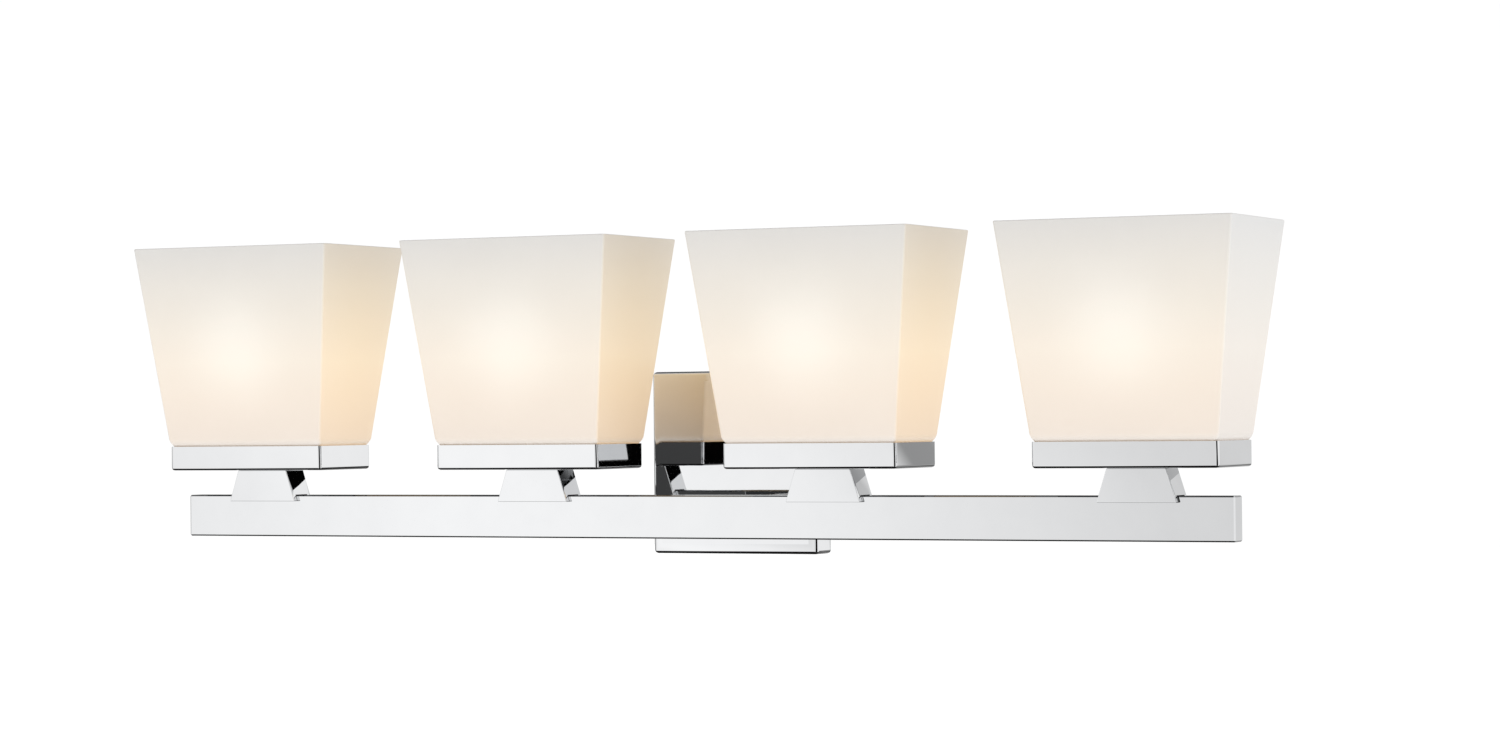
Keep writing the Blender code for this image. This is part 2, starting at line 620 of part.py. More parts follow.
def make_lead(kit, x, number, lane_z):
    """The lead of one lampholder: down its stem, along the bar and out through the neck."""
    side = math.copysign(1, x)
    neck_x = side * LEAD_LANE
    end_z = lane_z + (lane_z - BAR_Z)
    tube_end = -PLATE_DEPTH + PLATE_WALL + NECK_NUT_THICKNESS
    corners = [(x, BAR_Y, LEAD_TOP), (x, BAR_Y, BAR_TOP), (x, BAR_Y, lane_z + LEAD_TURN),
               (x, BAR_Y, lane_z), (x - side * LEAD_TURN, BAR_Y, lane_z),
               (neck_x + side * LEAD_TURN, BAR_Y, lane_z), (neck_x, BAR_Y, lane_z),
               (neck_x, BAR_Y + LEAD_TURN, lane_z), (neck_x, tube_end, lane_z),
               (neck_x, LEAD_END_Y, end_z), (side * LEAD_END_X / 2, LEAD_END_Y, end_z),
               (side * LEAD_END_X, LEAD_END_Y, end_z)]
    route = rounded_route([Vector(corner) for corner in corners])
    name = "lead_" + number
    curve = bpy.data.curves.new(name, "CURVE")
    curve.dimensions = "3D"
    curve.bevel_depth = LEAD_RADIUS
    curve.bevel_resolution = 2
    curve.use_fill_caps = True
    spline = curve.splines.new("POLY")
    spline.points.add(len(route) - 1)
    for point, place in zip(spline.points, route):
        point.co = (*place, 1)
    link(name, curve, kit["parts"], kit["materials"]["lead_white"])


def make_light(kit, x, number):
    """One light, under an empty on its own upright axis."""
    light = bpy.data.objects.new("light_axis_" + number, None)
    light.location = (x, BAR_Y, 0)
    kit["parts"].objects.link(light)
    make_arm(kit, light, number)
    make_tray(kit, light, number)
    make_stem(kit, light, number)
    make_lampholder(kit, light, number)
    make_shade(kit, light, number)
    make_ring(kit, light, number)
    make_lamp(kit, light, number)


def main():
    """Build the whole light bar."""
    clear_scene()
    kit = {"parts": make_collection(COLLECTION), "cutters": make_collection("cutters"),
           "materials": make_materials()}
    middle = (LIGHT_COUNT - 1) / 2
    places = [(index - middle) * LIGHT_PITCH for index in range(LIGHT_COUNT)]
    make_plate(kit)
    make_crossbar(kit)
    make_wall_screws(kit)
    make_neck(kit)
    make_bar(kit, places)
    for index, x in enumerate(places):
        number = str(index + 1)
        outer = abs(x) > LIGHT_PITCH
        make_light(kit, x, number)
        make_lead(kit, x, number, BAR_Z + (-LEAD_LANE if outer else LEAD_LANE))


main()
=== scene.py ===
import json
import math

import bmesh
import bpy
from mathutils import Matrix, Vector


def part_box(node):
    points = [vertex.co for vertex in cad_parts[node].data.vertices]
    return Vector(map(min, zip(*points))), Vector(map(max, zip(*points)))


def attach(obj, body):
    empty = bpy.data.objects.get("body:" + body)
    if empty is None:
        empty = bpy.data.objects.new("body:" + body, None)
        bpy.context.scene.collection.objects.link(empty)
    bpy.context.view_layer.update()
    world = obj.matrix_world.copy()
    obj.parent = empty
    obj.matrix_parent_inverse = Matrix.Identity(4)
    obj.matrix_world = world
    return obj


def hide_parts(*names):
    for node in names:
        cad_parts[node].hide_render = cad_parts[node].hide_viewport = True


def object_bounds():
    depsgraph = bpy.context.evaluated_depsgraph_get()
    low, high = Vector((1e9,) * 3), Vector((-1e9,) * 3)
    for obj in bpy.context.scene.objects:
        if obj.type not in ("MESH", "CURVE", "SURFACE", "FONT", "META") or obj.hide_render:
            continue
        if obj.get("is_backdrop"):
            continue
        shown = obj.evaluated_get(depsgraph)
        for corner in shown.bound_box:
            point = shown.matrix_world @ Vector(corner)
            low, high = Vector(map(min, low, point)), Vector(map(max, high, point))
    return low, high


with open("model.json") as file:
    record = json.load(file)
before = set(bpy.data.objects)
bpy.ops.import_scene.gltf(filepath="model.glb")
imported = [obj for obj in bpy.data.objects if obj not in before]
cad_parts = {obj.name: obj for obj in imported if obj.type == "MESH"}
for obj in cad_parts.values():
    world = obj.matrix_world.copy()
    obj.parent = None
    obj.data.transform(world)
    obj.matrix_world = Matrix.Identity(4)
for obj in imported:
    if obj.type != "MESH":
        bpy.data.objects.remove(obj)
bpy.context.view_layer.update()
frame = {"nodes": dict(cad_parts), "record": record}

LIGHTS = ("1", "2", "3", "4")
LIGHT_PITCH = 0.210
LIGHT_Y = (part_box("tray_1")[0].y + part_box("tray_1")[1].y) / 2
GLASS_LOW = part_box("tray_1")[1].z
GLASS_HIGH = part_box("shade_1")[1].z
PAINTED_LOWER_REFLECTION = 0.02               # painted dark reflection on the chrome's rounded lower edges, as a tone in its base colour
PAINTED_UPPER_REFLECTION = 0.18               # and the same painted reflection on its upper ones
PAINTED_GLOW_HEIGHT = 0.079             # middle of the painted hot spot on each glass
OUTER_SIDE = 0.365              # the glass sides beyond this x face open air, and get less painted glow and no painted warm bounce

# Detail of the pieces inside the glass
TURN_STEPS = 64
BULB_NECK = 0.0121
CAP_PITCH = 0.00363
CAP_THREAD = 0.00042
SHELL_THREAD = 0.00026
HOLDER_PITCH = 0.0026
HOLDER_THREAD = 0.00032
THREAD_ROWS = 10                # rows of vertices in one turn of a thread
BULB_GLASS = 0.0008
RING_GRIPS = 36
RING_GRIP_DEPTH = 0.0006
LEAD_END = (0.030, -0.007)      # where each lead is cut, behind the plate
LEAD_LANE = 0.0034              # how far each lead's end is above or below the bar's middle
TIP_LENGTH = 0.009
TIP_STRANDS = 5
TIP_STEPS = 12
TIP_OVERLAP = 0.002             # how far the strands start inside the lead
STRAND_RADIUS = 0.00034
STRAND_SPREAD = 0.00055         # from the lead's middle to each strand's

# Shading: CAD solids are welded first, and edges that turn by more than this stay sharp
WELD = 0.00001
SOLID_SHARP = math.radians(35)
TURNED_SHARP = math.radians(40)

# Studio
STUDIO_GAIN = 1.24              # how bright the studio is in a reflection
SOFT_LEVEL = 0.590              # its soft light on everything else, straight up and down
SOFT_TOWARDS_X = 0.41           # how that changes towards +x,
SOFT_TOWARDS_Y = -0.185         # towards +y,
SOFT_BEHIND = -0.25             # and further towards +y, behind the light only
BACKDROP = (1.02, 1.02, 1.02)   # what the camera sees behind the object
FLOOR_SIZE = 60
FLOOR_HEIGHT = -1.2
FLOOR_GLOW = 0.65

# Viewpoint: from the right, almost level with the bar
CAMERA_PLACE = (1.1154, -2.2848, 0.0319)
CAMERA_TURN = 0.4533
CAMERA_TILT = 0.0111
CAMERA_ROLL = -0.0095
CAMERA_LENS = 91.16


class Nodes:
    """A short way to write a node tree."""

    def __init__(self, tree):
        self.tree = tree

    def add(self, kind, **settings):
        """A node with its properties set."""
        node = self.tree.nodes.new(kind)
        for name, value in settings.items():
            setattr(node, name, value)
        return node

    def link(self, source, target):
        """Join an output socket to an input socket."""
        self.tree.links.new(source, target)

    def feed(self, socket, value):
        """Give an input socket a value or another socket's output."""
        if isinstance(value, bpy.types.NodeSocket):
            self.link(value, socket)
        else:
            socket.default_value = value

    def math(self, operation, first, second=0.0, third=0.0):
        """A Math node's result."""
        node = self.add("ShaderNodeMath", operation=operation)
        for socket, value in zip(node.inputs, (first, second, third)):
            self.feed(socket, value)
        return node.outputs[0]

    def vector(self, operation, first, second=(0, 0, 0)):
        """A Vector Math node's result."""
        node = self.add("ShaderNodeVectorMath", operation=operation)
        self.feed(node.inputs[0], first)
        self.feed(node.inputs[1], second)
        return node.outputs["Value" if operation in ("DOT_PRODUCT", "LENGTH") else "Vector"]

    def scale(self, vector, factor):
        """A vector or colour times a number."""
        node = self.add("ShaderNodeVectorMath", operation="SCALE")
        self.feed(node.inputs[0], vector)
        self.feed(node.inputs["Scale"], factor)
        return node.outputs["Vector"]

    def split(self, vector):
        """The X, Y and Z of a vector."""
        node = self.add("ShaderNodeSeparateXYZ")
        self.link(vector, node.inputs[0])
        return node.outputs

    def join(self, x, y, z):
        """A vector from three numbers."""
        node = self.add("ShaderNodeCombineXYZ")
        for socket, value in zip(node.inputs, (x, y, z)):
            self.feed(socket, value)
        return node.outputs[0]

    def ramp(self, value, stops, interpolation="LINEAR"):
        """A colour ramp through (position, grey or colour) stops."""
        node = self.add("ShaderNodeValToRGB")
        node.color_ramp.interpolation = interpolation
        elements = node.color_ramp.elements
        while len(elements) < len(stops):
            elements.new(0.5)
        for element, (position, tone) in zip(elements, stops):
            element.position = position
            color = (tone, tone, tone) if isinstance(tone, (int, float)) else tone
            element.color = (*color, 1)
        self.link(value, node.inputs[0])
        return node.outputs[0]

    def mix(self, factor, first, second):
        """Blend two colours."""
        node = self.add("ShaderNodeMix", data_type="RGBA")
        self.feed(node.inputs[0], factor)
        for socket, value in zip((node.inputs[6], node.inputs[7]), (first, second)):
            self.feed(socket, (*value, 1) if isinstance(value, tuple) else value)
        return node.outputs[2]

    def noise(self, vector, scale, detail=2.0, rough=0.5):
        """Fractal noise at a scale in lumps per metre."""
        node = self.add("ShaderNodeTexNoise")
        self.link(vector, node.inputs["Vector"])
        node.inputs["Scale"].default_value = scale
        node.inputs["Detail"].default_value = detail
        node.inputs["Roughness"].default_value = rough
        return node.outputs[0]


def new_material(name, **sockets):
    """A Principled material; returns it, its nodes, its shader and object coordinates."""
    material = bpy.data.materials.new(name)
    material.use_nodes = True
    nodes = Nodes(material.node_tree)
    shader = material.node_tree.nodes["Principled BSDF"]
    for socket, value in sockets.items():
        label = socket.replace("_", " ").title().replace("Ior", "IOR")
        shader.inputs[label].default_value = value
    place = nodes.add("ShaderNodeTexCoord").outputs["Object"]
    return material, nodes, shader, place


def add_bump(nodes, shader, height, strength, distance):
    """Bump the shader's surface by a height field."""
    bump = nodes.add("ShaderNodeBump")
    bump.inputs["Strength"].default_value = strength
    bump.inputs["Distance"].default_value = distance
    nodes.link(height, bump.inputs["Height"])
    nodes.link(bump.outputs[0], shader.inputs["Normal"])


def chrome_material():
    """Polished chromium plate, with faint smudges and the slightest waviness.

    Its rounded lower and upper edges get a painted dark reflection in their base colour, set by
    the way that they face as a dark room would show, so that the studio can stay light for its flat
    faces.
    """
    material, nodes, shader, place = new_material("chrome", metallic=1.0)
    smudge = nodes.noise(place, 38.0, 4.0, 0.6)
    plate = nodes.ramp(smudge, ((0.35, (0.752, 0.758, 0.766)), (0.70, (0.735, 0.741, 0.750))))
    facing = nodes.split(nodes.add("ShaderNodeNewGeometry").outputs["Normal"])[2]
    # Painted reflection: faces turned down or up get a dark base colour, as a dark floor and
    # ceiling would show in them
    painted_edge_reflection = nodes.ramp(nodes.math("MULTIPLY_ADD", facing, 0.5, 0.5), (
        (0.0, 1.0), (0.012, 1.0), (0.03, PAINTED_LOWER_REFLECTION), (0.325, PAINTED_LOWER_REFLECTION), (0.352, 1.0),
        (0.83, 1.0), (0.845, PAINTED_UPPER_REFLECTION), (0.965, PAINTED_UPPER_REFLECTION), (0.98, 1.0), (1.0, 1.0)))
    nodes.link(nodes.scale(plate, painted_edge_reflection), shader.inputs["Base Color"])
    nodes.link(nodes.ramp(smudge, ((0.40, 0.016), (0.75, 0.040))), shader.inputs["Roughness"])
    add_bump(nodes, shader, nodes.noise(place, 16.0, 1.0), 0.05, 0.0004)
    return material


def painted_opal_glow(nodes, place, side, back, neighbour):
    """Painted light through the glass, set as emission: warm, low down, and brightest by the lamp.
    """
    x, _, z = nodes.split(place)
    normal_y = nodes.split(nodes.add("ShaderNodeNewGeometry").outputs["Normal"])[1]
    rise = nodes.math("DIVIDE", nodes.math("SUBTRACT", z, GLASS_LOW), GLASS_HIGH - GLASS_LOW)
    warm = nodes.ramp(rise, (
        (0.0, (0.155, 0.070, 0.001)), (0.10, (0.178, 0.084, 0.003)), (0.25, (0.205, 0.110, 0.018)),
        (0.42, (0.222, 0.141, 0.048)), (0.60, (0.165, 0.110, 0.038)), (0.80, (0.100, 0.070, 0.028)),
        (1.0, (0.012, 0.006, 0.001))))
    # How much painted glow the back of the glass gets, by height
    behind = nodes.ramp(rise, ((0.0, 0.40), (0.38, 0.90), (1.0, 1.5)))
    front = nodes.math("MAXIMUM", nodes.math("MULTIPLY", normal_y, -1.0), 0.0)
    front = nodes.math("POWER", front, 2.0)
    # Painted bounce light: sides that face a neighbour get more of the painted glow than outer
    # sides, and the back more again
    side_gain = nodes.math("MULTIPLY", side, nodes.math("MULTIPLY_ADD", neighbour, 0.66, 0.62))
    back_gain = nodes.math("MULTIPLY", back, nodes.math("MULTIPLY", behind, 2.2))
    gain = nodes.math("ADD", nodes.math("ADD", front, side_gain), back_gain)
    across = nodes.math("WRAP", nodes.math("SUBTRACT", x, LIGHT_PITCH / 2), -LIGHT_PITCH / 2,
                        LIGHT_PITCH / 2)
    ray = nodes.join(across, 0.0, nodes.math("SUBTRACT", z, PAINTED_GLOW_HEIGHT))
    spot = nodes.ramp(nodes.vector("LENGTH", ray), (
        (0.0, 1.0), (0.013, 0.96), (0.030, 0.42), (0.045, 0.10), (0.060, 0.0)), "B_SPLINE")
    # Painted hot spot on the front faces, round the lamp's height
    painted_hot_spot = nodes.vector("MULTIPLY", nodes.scale(spot, front), (0.085, 0.098, 0.104))
    return nodes.vector("ADD", nodes.scale(warm, gain), painted_hot_spot)


def opal_material():
    """Satin opal glass with a painted glow from its lamp, and a painted warm bounce where it faces
    a neighbour or the wall.
    """
    material, nodes, shader, place = new_material("opal_glass", specular_ior_level=0.3)
    normal_x, normal_y, _ = nodes.split(nodes.add("ShaderNodeNewGeometry").outputs["Normal"])
    side = nodes.math("POWER", nodes.math("ABSOLUTE", normal_x), 2.0)
    back = nodes.math("POWER", nodes.math("MAXIMUM", normal_y, 0.0), 2.0)
    outward = nodes.math("ABSOLUTE", nodes.split(place)[0])
    neighbour = nodes.math("LESS_THAN", outward, OUTER_SIDE)
    cloud = nodes.noise(place, 30.0, 3.0)
    plain = nodes.ramp(cloud, ((0.30, (0.778, 0.765, 0.741)), (0.70, (0.792, 0.779, 0.755))))
    # Painted light: the base colour is warmer on sides that face a neighbour and on the back,
    # standing in for lamp light bounced back from them; outer sides stay white
    painted_side_bounce = nodes.mix(neighbour, (0.80, 0.80, 0.795), (0.790, 0.742, 0.664))
    painted_facing_tint = nodes.mix(back, nodes.mix(side, plain, painted_side_bounce), (0.785, 0.735, 0.655))
    nodes.link(painted_facing_tint, shader.inputs["Base Color"])
    nodes.link(nodes.ramp(cloud, ((0.35, 0.30), (0.70, 0.38))), shader.inputs["Roughness"])
    add_bump(nodes, shader, nodes.noise(place, 700.0, 2.0), 0.04, 0.0001)
    # Painted light: the glass's glow is set as emission
    shader.inputs["Emission Strength"].default_value = 1.0
    nodes.link(painted_opal_glow(nodes, place, side, back, neighbour), shader.inputs["Emission Color"])
    return material


def porcelain_material():
    """White glazed ceramic with a few tiny kiln specks."""
    material, nodes, shader, place = new_material(
        "porcelain", roughness=0.12, coat_weight=0.4, coat_roughness=0.05)
    tint = nodes.noise(place, 60.0, 2.0)
    body = nodes.ramp(tint, ((0.30, (0.80, 0.79, 0.755)), (0.70, (0.86, 0.85, 0.82))))
    speck = nodes.ramp(nodes.noise(place, 900.0, 1.0), ((0.70, 0.0), (0.76, 1.0)))
    nodes.link(nodes.mix(speck, body, (0.55, 0.50, 0.43)), shader.inputs["Base Color"])
    add_bump(nodes, shader, nodes.noise(place, 140.0, 2.0), 0.10, 0.0003)
    return material


def metal_material(name, dark, light, scale, rough, stretch=(1, 1, 1), bump=0.0001):
    """A plated or stamped metal, cloudy between two tints, with fine drawn marks."""
    material, nodes, shader, place = new_material(name, metallic=1.0)
    cloud = nodes.noise(place, scale, 4.0, 0.6)
    nodes.link(nodes.ramp(cloud, ((0.32, dark), (0.68, light))), shader.inputs["Base Color"])
    nodes.link(nodes.ramp(cloud, ((0.30, rough[1]), (0.70, rough[0]))), shader.inputs["Roughness"])
    marks = nodes.noise(nodes.vector("MULTIPLY", place, stretch), 500.0, 3.0, 0.6)
    add_bump(nodes, shader, marks, 0.25, bump)
    return material


def plastic_material(name, dark, light, roughness, grain, depth):
    """Moulded plastic with a fine grain and a slight unevenness of colour."""
    material, nodes, shader, place = new_material(name, roughness=roughness)
    cloud = nodes.noise(place, 45.0, 2.0)
    nodes.link(nodes.ramp(cloud, ((0.30, dark), (0.70, light))), shader.inputs["Base Color"])
    add_bump(nodes, shader, nodes.noise(place, grain, 2.0), 0.3, depth)
    return material


def bulb_material(low, high):
    """Soft white bulb glass, alight: brightest round its middle, dimmer down the neck."""
    material, nodes, shader, place = new_material("bulb_glass", roughness=0.25)
    shader.inputs["Base Color"].default_value = (0.80, 0.78, 0.74, 1)
    z = nodes.split(place)[2]
    rise = nodes.math("DIVIDE", nodes.math("SUBTRACT", z, low), high - low)
    cloud = nodes.noise(place, 80.0, 2.0)
    rise = nodes.math("ADD", rise, nodes.math("MULTIPLY_ADD", cloud, 0.06, -0.03))
    glow = nodes.ramp(rise, (
        (0.15, (0.08, 0.04, 0.01)), (0.40, (0.32, 0.22, 0.10)), (0.66, (0.54, 0.43, 0.25)),
        (1.0, (0.42, 0.32, 0.17))), "EASE")
    nodes.link(glow, shader.inputs["Emission Color"])
    shader.inputs["Emission Strength"].default_value = 1.0
    return material


def cap_material(shoulder):
    """A nickel-plated lamp cap; below its shoulder, black glass round a tinned contact."""
    material, nodes, shader, place = new_material("bulb_cap")
    z = nodes.split(place)[2]
    cloud = nodes.noise(place, 220.0, 4.0, 0.6)
    metal = nodes.ramp(cloud, ((0.30, (0.60, 0.60, 0.58)), (0.70, (0.76, 0.75, 0.72))))
    glass = nodes.math("LESS_THAN", z, shoulder)
    contact = nodes.math("LESS_THAN", z, shoulder - 0.0024)
    glass = nodes.math("SUBTRACT", glass, contact)
    nodes.link(nodes.mix(glass, metal, (0.012, 0.012, 0.016)), shader.inputs["Base Color"])
    nodes.link(nodes.math("SUBTRACT", 1.0, glass), shader.inputs["Metallic"])
    nodes.link(nodes.ramp(cloud, ((0.30, 0.34), (0.70, 0.22))), shader.inputs["Roughness"])
    add_bump(nodes, shader, nodes.noise(place, 900.0, 2.0), 0.15, 0.0001)
    return material


def smooth_tree():
    """Geometry nodes that weld a faceted solid and keep only its real edges sharp."""
    tree = bpy.data.node_groups.new("smooth_solid", "GeometryNodeTree")
    tree.interface.new_socket("Geometry", in_out="INPUT", socket_type="NodeSocketGeometry")
    tree.interface.new_socket("Geometry", in_out="OUTPUT", socket_type="NodeSocketGeometry")
    nodes = Nodes(tree)
    start = nodes.add("NodeGroupInput").outputs[0]
    weld = nodes.add("GeometryNodeMergeByDistance")
    weld.inputs["Distance"].default_value = WELD
    faces = nodes.add("GeometryNodeSetShadeSmooth", domain="FACE")
    edges = nodes.add("GeometryNodeSetShadeSmooth", domain="EDGE")
    angle = nodes.add("GeometryNodeInputMeshEdgeAngle").outputs[0]
    sharp = nodes.add("FunctionNodeCompare", operation="GREATER_THAN")
    nodes.link(angle, sharp.inputs[0])
    sharp.inputs[1].default_value = SOLID_SHARP
    edges.inputs["Shade Smooth"].default_value = False
    end = nodes.add("NodeGroupOutput").inputs[0]
    nodes.link(start, weld.inputs["Geometry"])
    nodes.link(weld.outputs[0], faces.inputs["Geometry"])
    nodes.link(faces.outputs[0], edges.inputs["Geometry"])
    nodes.link(sharp.outputs[0], edges.inputs["Selection"])
    nodes.link(edges.outputs[0], end)
    return tree


def dress(node, material, tree):
    """Give a CAD node its finish and smooth normals."""
    obj = frame["nodes"][node]
    obj.data.materials.clear()
    obj.data.materials.append(material)
    smooth = obj.modifiers.new("smooth", "NODES")
    smooth.node_group = tree
    weighted = obj.modifiers.new("weighted", "WEIGHTED_NORMAL")
    weighted.keep_sharp = True


def thread_rows(radius, top, bottom, depth, pitch):
    """Rows of (radius, height, thread depth) down a thread that fades out at both ends."""
    count = max(2, round((top - bottom) / pitch * THREAD_ROWS))
    rows = []
    for step in range(count + 1):
        height = top + (bottom - top) * step / count
        fade = min(1.0, (top - height) / pitch / 0.6, (height - bottom) / pitch / 0.6)
        rows.append((radius, height, depth * fade))
    return rows


def spun(name, rows, centre, material, body, node, pitch=1.0, closed=True, steps=TURN_STEPS,
         grips=0):
    """Spin rows of (radius, height, depth) round the upright axis at centre.

    The depth is that of a thread, or of the grips cut across the row when there are any.
    The piece takes the place of a CAD node and moves with its body.
    """
    bm = bmesh.new()
    rings = []
    for radius, height, depth in rows:
        ring = []
        for step in range(steps):
            turn = math.tau * step / steps
            if grips:
                swing = -depth * max(0.0, math.cos(turn * grips)) ** 0.5
            else:
                swing = depth * math.cos(math.tau * height / pitch - turn)
            reach = radius + swing
            ring.append(bm.verts.new((centre[0] + reach * math.cos(turn),
                                      centre[1] + reach * math.sin(turn), height)))
        rings.append(ring)
    pairs = list(zip(rings, rings[1:])) + ([(rings[-1], rings[0])] if closed else [])
    for upper, lower in pairs:
        for start in range(steps):
            end = (start + 1) % steps
            bm.faces.new((upper[start], lower[start], lower[end], upper[end]))
    bmesh.ops.remove_doubles(bm, verts=bm.verts, dist=0.000002)
    bmesh.ops.recalc_face_normals(bm, faces=bm.faces)
    mesh = bpy.data.meshes.new(name)
    bm.to_mesh(mesh)
    bm.free()
    mesh.shade_smooth()
    mesh.set_sharp_from_angle(angle=TURNED_SHARP)
    mesh.materials.append(material)
    piece = bpy.data.objects.new(name, mesh)
    bpy.context.scene.collection.objects.link(piece)
    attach(piece, body)
    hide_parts(node)


def rounded(points, radius, steps=4):
    """Round the corners of a profile of (radius, height) points."""
    out = []
    count = len(points)
    for index, point in enumerate(points):
        here = Vector(point)
        before = Vector(points[index - 1]) - here
        after = Vector(points[(index + 1) % count]) - here
        if here.x < 1e-6 or min(before.length, after.length) < 1e-6:
            out.append(tuple(here))
            continue
        reach = min(radius, before.length * 0.45, after.length * 0.45)
        start = here + before.normalized() * reach
        end = here + after.normalized() * reach
        for step in range(steps + 1):
            part = step / steps
            out.append(tuple(start.lerp(here, part).lerp(here.lerp(end, part), part)))
    return out


def plain_rows(points):
    """Rows without a thread."""
    return [(radius, height, 0.0) for radius, height in points]


def bulb_outline(inset, low, high, wide):
    """A bulb's outline from its top down to its neck's end, set in by the glass."""
    radius = wide - inset
    centre = high - wide
    join_angle = math.radians(-35)
    points = [(0.0, centre + radius)]
    for step in range(1, 33):
        angle = math.pi / 2 + (join_angle - math.pi / 2) * step / 32
        points.append((radius * math.cos(angle), centre + radius * math.sin(angle)))
    belly, join = points[-1]
    narrow = BULB_NECK - inset
    foot = low + 0.014
    height = join - foot
    pull = -math.tan(join_angle) * height
    for step in range(17, -1, -1):
        part = step / 18
        ease = part * part * (3 - 2 * part)
        bend = part * part * (part - 1) * pull
        points.append((narrow + (belly - narrow) * ease + bend, foot + height * part))
    points.append((narrow, low))
    return points


def make_bulb(number, centre, material):
    """The lamp's glass, finer than its CAD solid."""
    low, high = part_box("bulb_" + number)
    wide = (high.x - low.x) / 2
    outer = bulb_outline(0.0, low.z, high.z, wide)
    inner = bulb_outline(BULB_GLASS, low.z, high.z, wide)
    spun("bulb_glass_" + number, plain_rows(outer + inner[::-1]), centre, material,
         "lamp_" + number, "bulb_" + number, closed=False)


def make_cap(number, centre, material):
    """The lamp's screw cap, with its rolled thread, shoulder and contact."""
    low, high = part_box("bulb_cap_" + number)
    radius = (high.x - low.x) / 2
    wall = 0.0004
    shoulder = low.z + 0.0045
    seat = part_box("bulb_" + number)[0].z - 0.0003
    rows = plain_rows([(0.0, seat), (radius - 2 * wall, seat),
                       (radius - 2 * wall, high.z - 0.0004), (radius - wall, high.z),
                       (radius - 0.0001, high.z - 0.0005), (radius - 0.0003, high.z - 0.0016)])
    rows += thread_rows(radius - CAP_THREAD, high.z - 0.0022, shoulder + 0.0014, CAP_THREAD,
                        CAP_PITCH)
    rows += plain_rows([(radius - 0.0009, shoulder + 0.0008), (radius - 0.0016, shoulder),
                        (0.0075, shoulder - 0.0017), (0.0052, low.z + 0.0021),
                        (0.0048, low.z + 0.0020), (0.0047, low.z + 0.0007),
                        (0.0036, low.z + 0.0001), (0.0, low.z)])
    spun("lamp_cap_" + number, rows, centre, material, "lamp_" + number,
         "bulb_cap_" + number, pitch=CAP_PITCH, closed=False)


def make_shell(number, centre, material):
    """The lampholder's brass screw shell."""
    low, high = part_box("screw_shell_" + number)
    inner, wall = 0.01365, 0.0003
    top, floor = high.z, low.z
    rows = plain_rows([(inner + 0.0004, top)])
    rows += thread_rows(inner + wall, top - 0.0010, floor + 0.0030, SHELL_THREAD, CAP_PITCH)
    rows += plain_rows([(inner + wall, floor + 0.0012), (inner - 0.0006, floor), (0.006, floor),
                        (0.006, floor + 0.0004), (inner - 0.0009, floor + 0.0004),
                        (inner, floor + 0.0014)])
    rows += thread_rows(inner, top - 0.0010, floor + 0.0030, SHELL_THREAD, CAP_PITCH)[::-1]
    rows += plain_rows([(inner + 0.0001, top)])
    spun("lamp_shell_" + number, rows, centre, material, "root",
         "screw_shell_" + number, pitch=CAP_PITCH)


def make_holder(number, centre, material):
    """The porcelain lampholder, with the moulded thread that the ring runs on."""
    low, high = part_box("lampholder_" + number)
    thread_top = 0.020
    radius, bore, thread = 0.0185, 0.0145, 0.01918
    floor = 0.013
    rows = plain_rows(rounded([(bore, floor), (bore, high.z), (radius, high.z),
                               (radius, thread_top), (thread, thread_top - 0.0004)], 0.0009)[5:])
    rows += thread_rows(thread, thread_top - 0.0006, low.z + 0.0010, HOLDER_THREAD,
                        HOLDER_PITCH)
    rows += plain_rows([(0.0190, low.z + 0.0004), (0.0186, low.z), (0.009, low.z),
                        (0.009, low.z + 0.0034), (0.0043, low.z + 0.0034), (0.0043, floor),
                        (bore, floor)])
    spun("porcelain_holder_" + number, rows, centre, material, "root",
         "lampholder_" + number, pitch=HOLDER_PITCH)


def make_ring(number, centre, material):
    """The ring that holds the glass, with grips round its collar."""
    low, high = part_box("shade_ring_" + number)
    flange, collar, bore = 0.0230, 0.0222, 0.0199
    step = low.z + 0.0025
    top = high.z
    rows = []
    for radius, height in rounded([(bore, low.z), (bore, top), (collar, top), (collar, step),
                                   (flange, step), (flange, low.z)], 0.0005):
        on_collar = radius > collar - 0.0002 and step + 0.0006 < height < top - 0.0003
        rows.append((radius, height, RING_GRIP_DEPTH if on_collar else 0.0))
    spun("glass_ring_" + number, rows, centre, material, "ring_" + number,
         "shade_ring_" + number, grips=RING_GRIPS, steps=RING_GRIPS * 8)


def make_tip(number, side, lane, material):
    """The tinned strands at the cut end of a lead, behind the wall plate."""
    name = "lead_tip_" + number
    curve = bpy.data.curves.new(name, "CURVE")
    curve.dimensions = "3D"
    curve.bevel_depth = STRAND_RADIUS
    curve.bevel_resolution = 2
    curve.use_fill_caps = True
    bar_z = (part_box("bar")[0].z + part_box("bar")[1].z) / 2
    for strand in range(TIP_STRANDS):
        spline = curve.splines.new("POLY")
        spline.points.add(TIP_STEPS)
        for index, point in enumerate(spline.points):
            part = index / TIP_STEPS
            turn = math.tau * (strand / TIP_STRANDS + part * 1.2)
            along = LEAD_END[0] - TIP_OVERLAP + (TIP_LENGTH + TIP_OVERLAP) * part
            point.co = (side * along, LEAD_END[1] + STRAND_SPREAD * math.cos(turn),
                        bar_z + lane + STRAND_SPREAD * math.sin(turn), 1)
    piece = bpy.data.objects.new(name, curve)
    piece.data.materials.append(material)
    bpy.context.scene.collection.objects.link(piece)
    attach(piece, "root")


